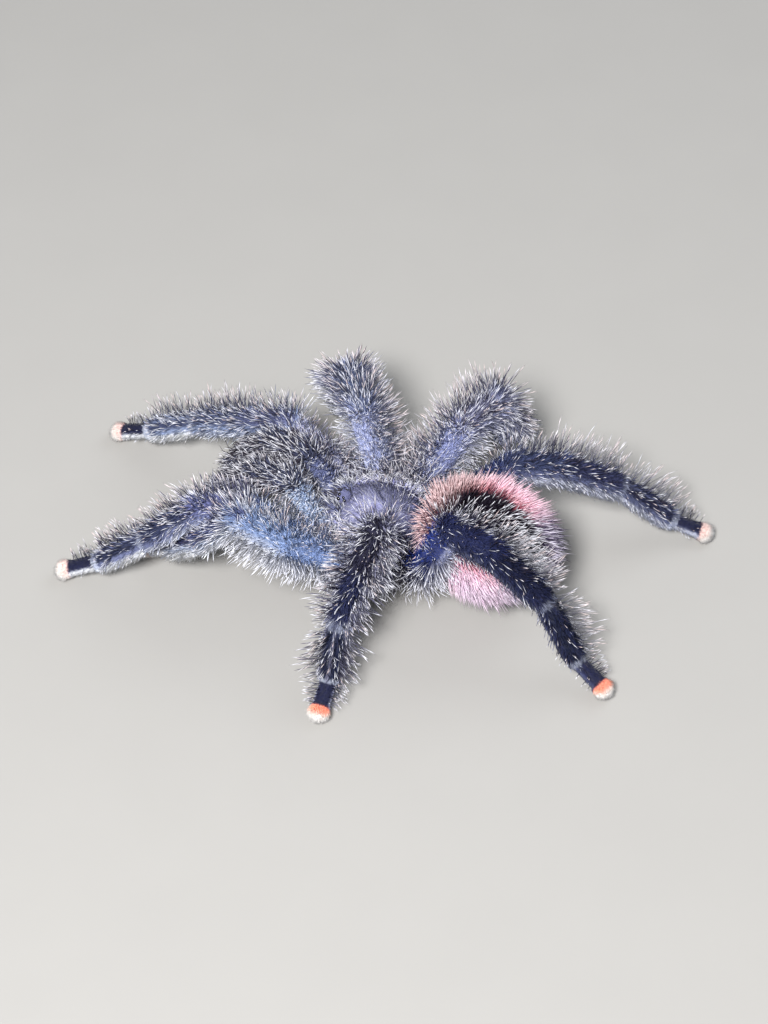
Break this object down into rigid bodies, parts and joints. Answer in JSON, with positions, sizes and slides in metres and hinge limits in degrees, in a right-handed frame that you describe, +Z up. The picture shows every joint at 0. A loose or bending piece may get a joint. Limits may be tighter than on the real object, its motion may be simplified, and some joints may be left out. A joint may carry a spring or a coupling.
{
  "type": "pink toe tarantula figure",
  "caption": "Life-size still figure of a hairy tree-dwelling tarantula standing on spread legs, with pink toe tips and a pink-haired abdomen.",
  "frame": {"origin": "middle of the bounding box's bottom face, on the floor that the feet stand on", "axes": "+Z up; the spider faces -Y, its left side is +X"},
  "size_m": [0.075, 0.1056, 0.0274],
  "materials": {
    "carapace": "short close-lying hair with a faint blue sheen over the hard front shield",
    "eyes": "wet black gloss",
    "underside": "dense black-brown velvet hair",
    "fang": "hard polished black",
    "chelicera": "grey-blue hair over the jaws",
    "leg_coat": "dark navy velvet under long white-tipped bristles",
    "foot_coat": "near-black velvet ending in a pale pink toe tuft",
    "spinneret": "fine grey-brown hair",
    "abdomen_coat": "long hair, salmon at the root and pale pink at the tip, black along the back"
  },
  "bodies": {
    "root": {"carapace": "carapace", "eye_tubercle": "eyes", "prosoma_underside": "underside", "left_fang": "fang", "left_chelicera": "chelicera", "right_fang": "fang", "right_chelicera": "chelicera", "left_leg_3_femur": "leg_coat", "left_leg_3_patella": "leg_coat", "left_leg_3_tibia": "leg_coat", "left_leg_3_metatarsus": "leg_coat", "left_leg_3_tarsus": "foot_coat", "left_leg_4_femur": "leg_coat", "left_leg_4_patella": "leg_coat", "left_leg_4_tibia": "leg_coat", "left_leg_4_metatarsus": "leg_coat", "left_leg_4_tarsus": "foot_coat", "left_leg_1_femur": "leg_coat", "left_leg_1_patella": "leg_coat", "left_leg_1_tibia": "leg_coat", "left_leg_1_metatarsus": "leg_coat", "left_leg_1_tarsus": "foot_coat", "left_leg_2_femur": "leg_coat", "left_leg_2_patella": "leg_coat", "left_leg_2_tibia": "leg_coat", "left_leg_2_metatarsus": "leg_coat", "left_leg_2_tarsus": "foot_coat", "right_leg_1_femur": "leg_coat", "right_leg_1_patella": "leg_coat", "right_leg_1_tibia": "leg_coat", "right_leg_1_metatarsus": "leg_coat", "right_leg_1_tarsus": "foot_coat", "right_leg_2_femur": "leg_coat", "right_leg_2_patella": "leg_coat", "right_leg_2_tibia": "leg_coat", "right_leg_2_metatarsus": "leg_coat", "right_leg_2_tarsus": "foot_coat", "right_leg_3_femur": "leg_coat", "right_leg_3_patella": "leg_coat", "right_leg_3_tibia": "leg_coat", "right_leg_3_metatarsus": "leg_coat", "right_leg_3_tarsus": "foot_coat", "right_leg_4_femur": "leg_coat", "right_leg_4_patella": "leg_coat", "right_leg_4_tibia": "leg_coat", "right_leg_4_metatarsus": "leg_coat", "right_leg_4_tarsus": "foot_coat", "left_palp_femur": "leg_coat", "left_palp_tibia": "leg_coat", "left_palp_tarsus": "foot_coat", "right_palp_femur": "leg_coat", "right_palp_tibia": "leg_coat", "right_palp_tarsus": "foot_coat", "pedicel": "underside", "left_spinneret": "spinneret", "right_spinneret": "spinneret", "abdomen": "abdomen_coat"}
  },
  "joints": []
}
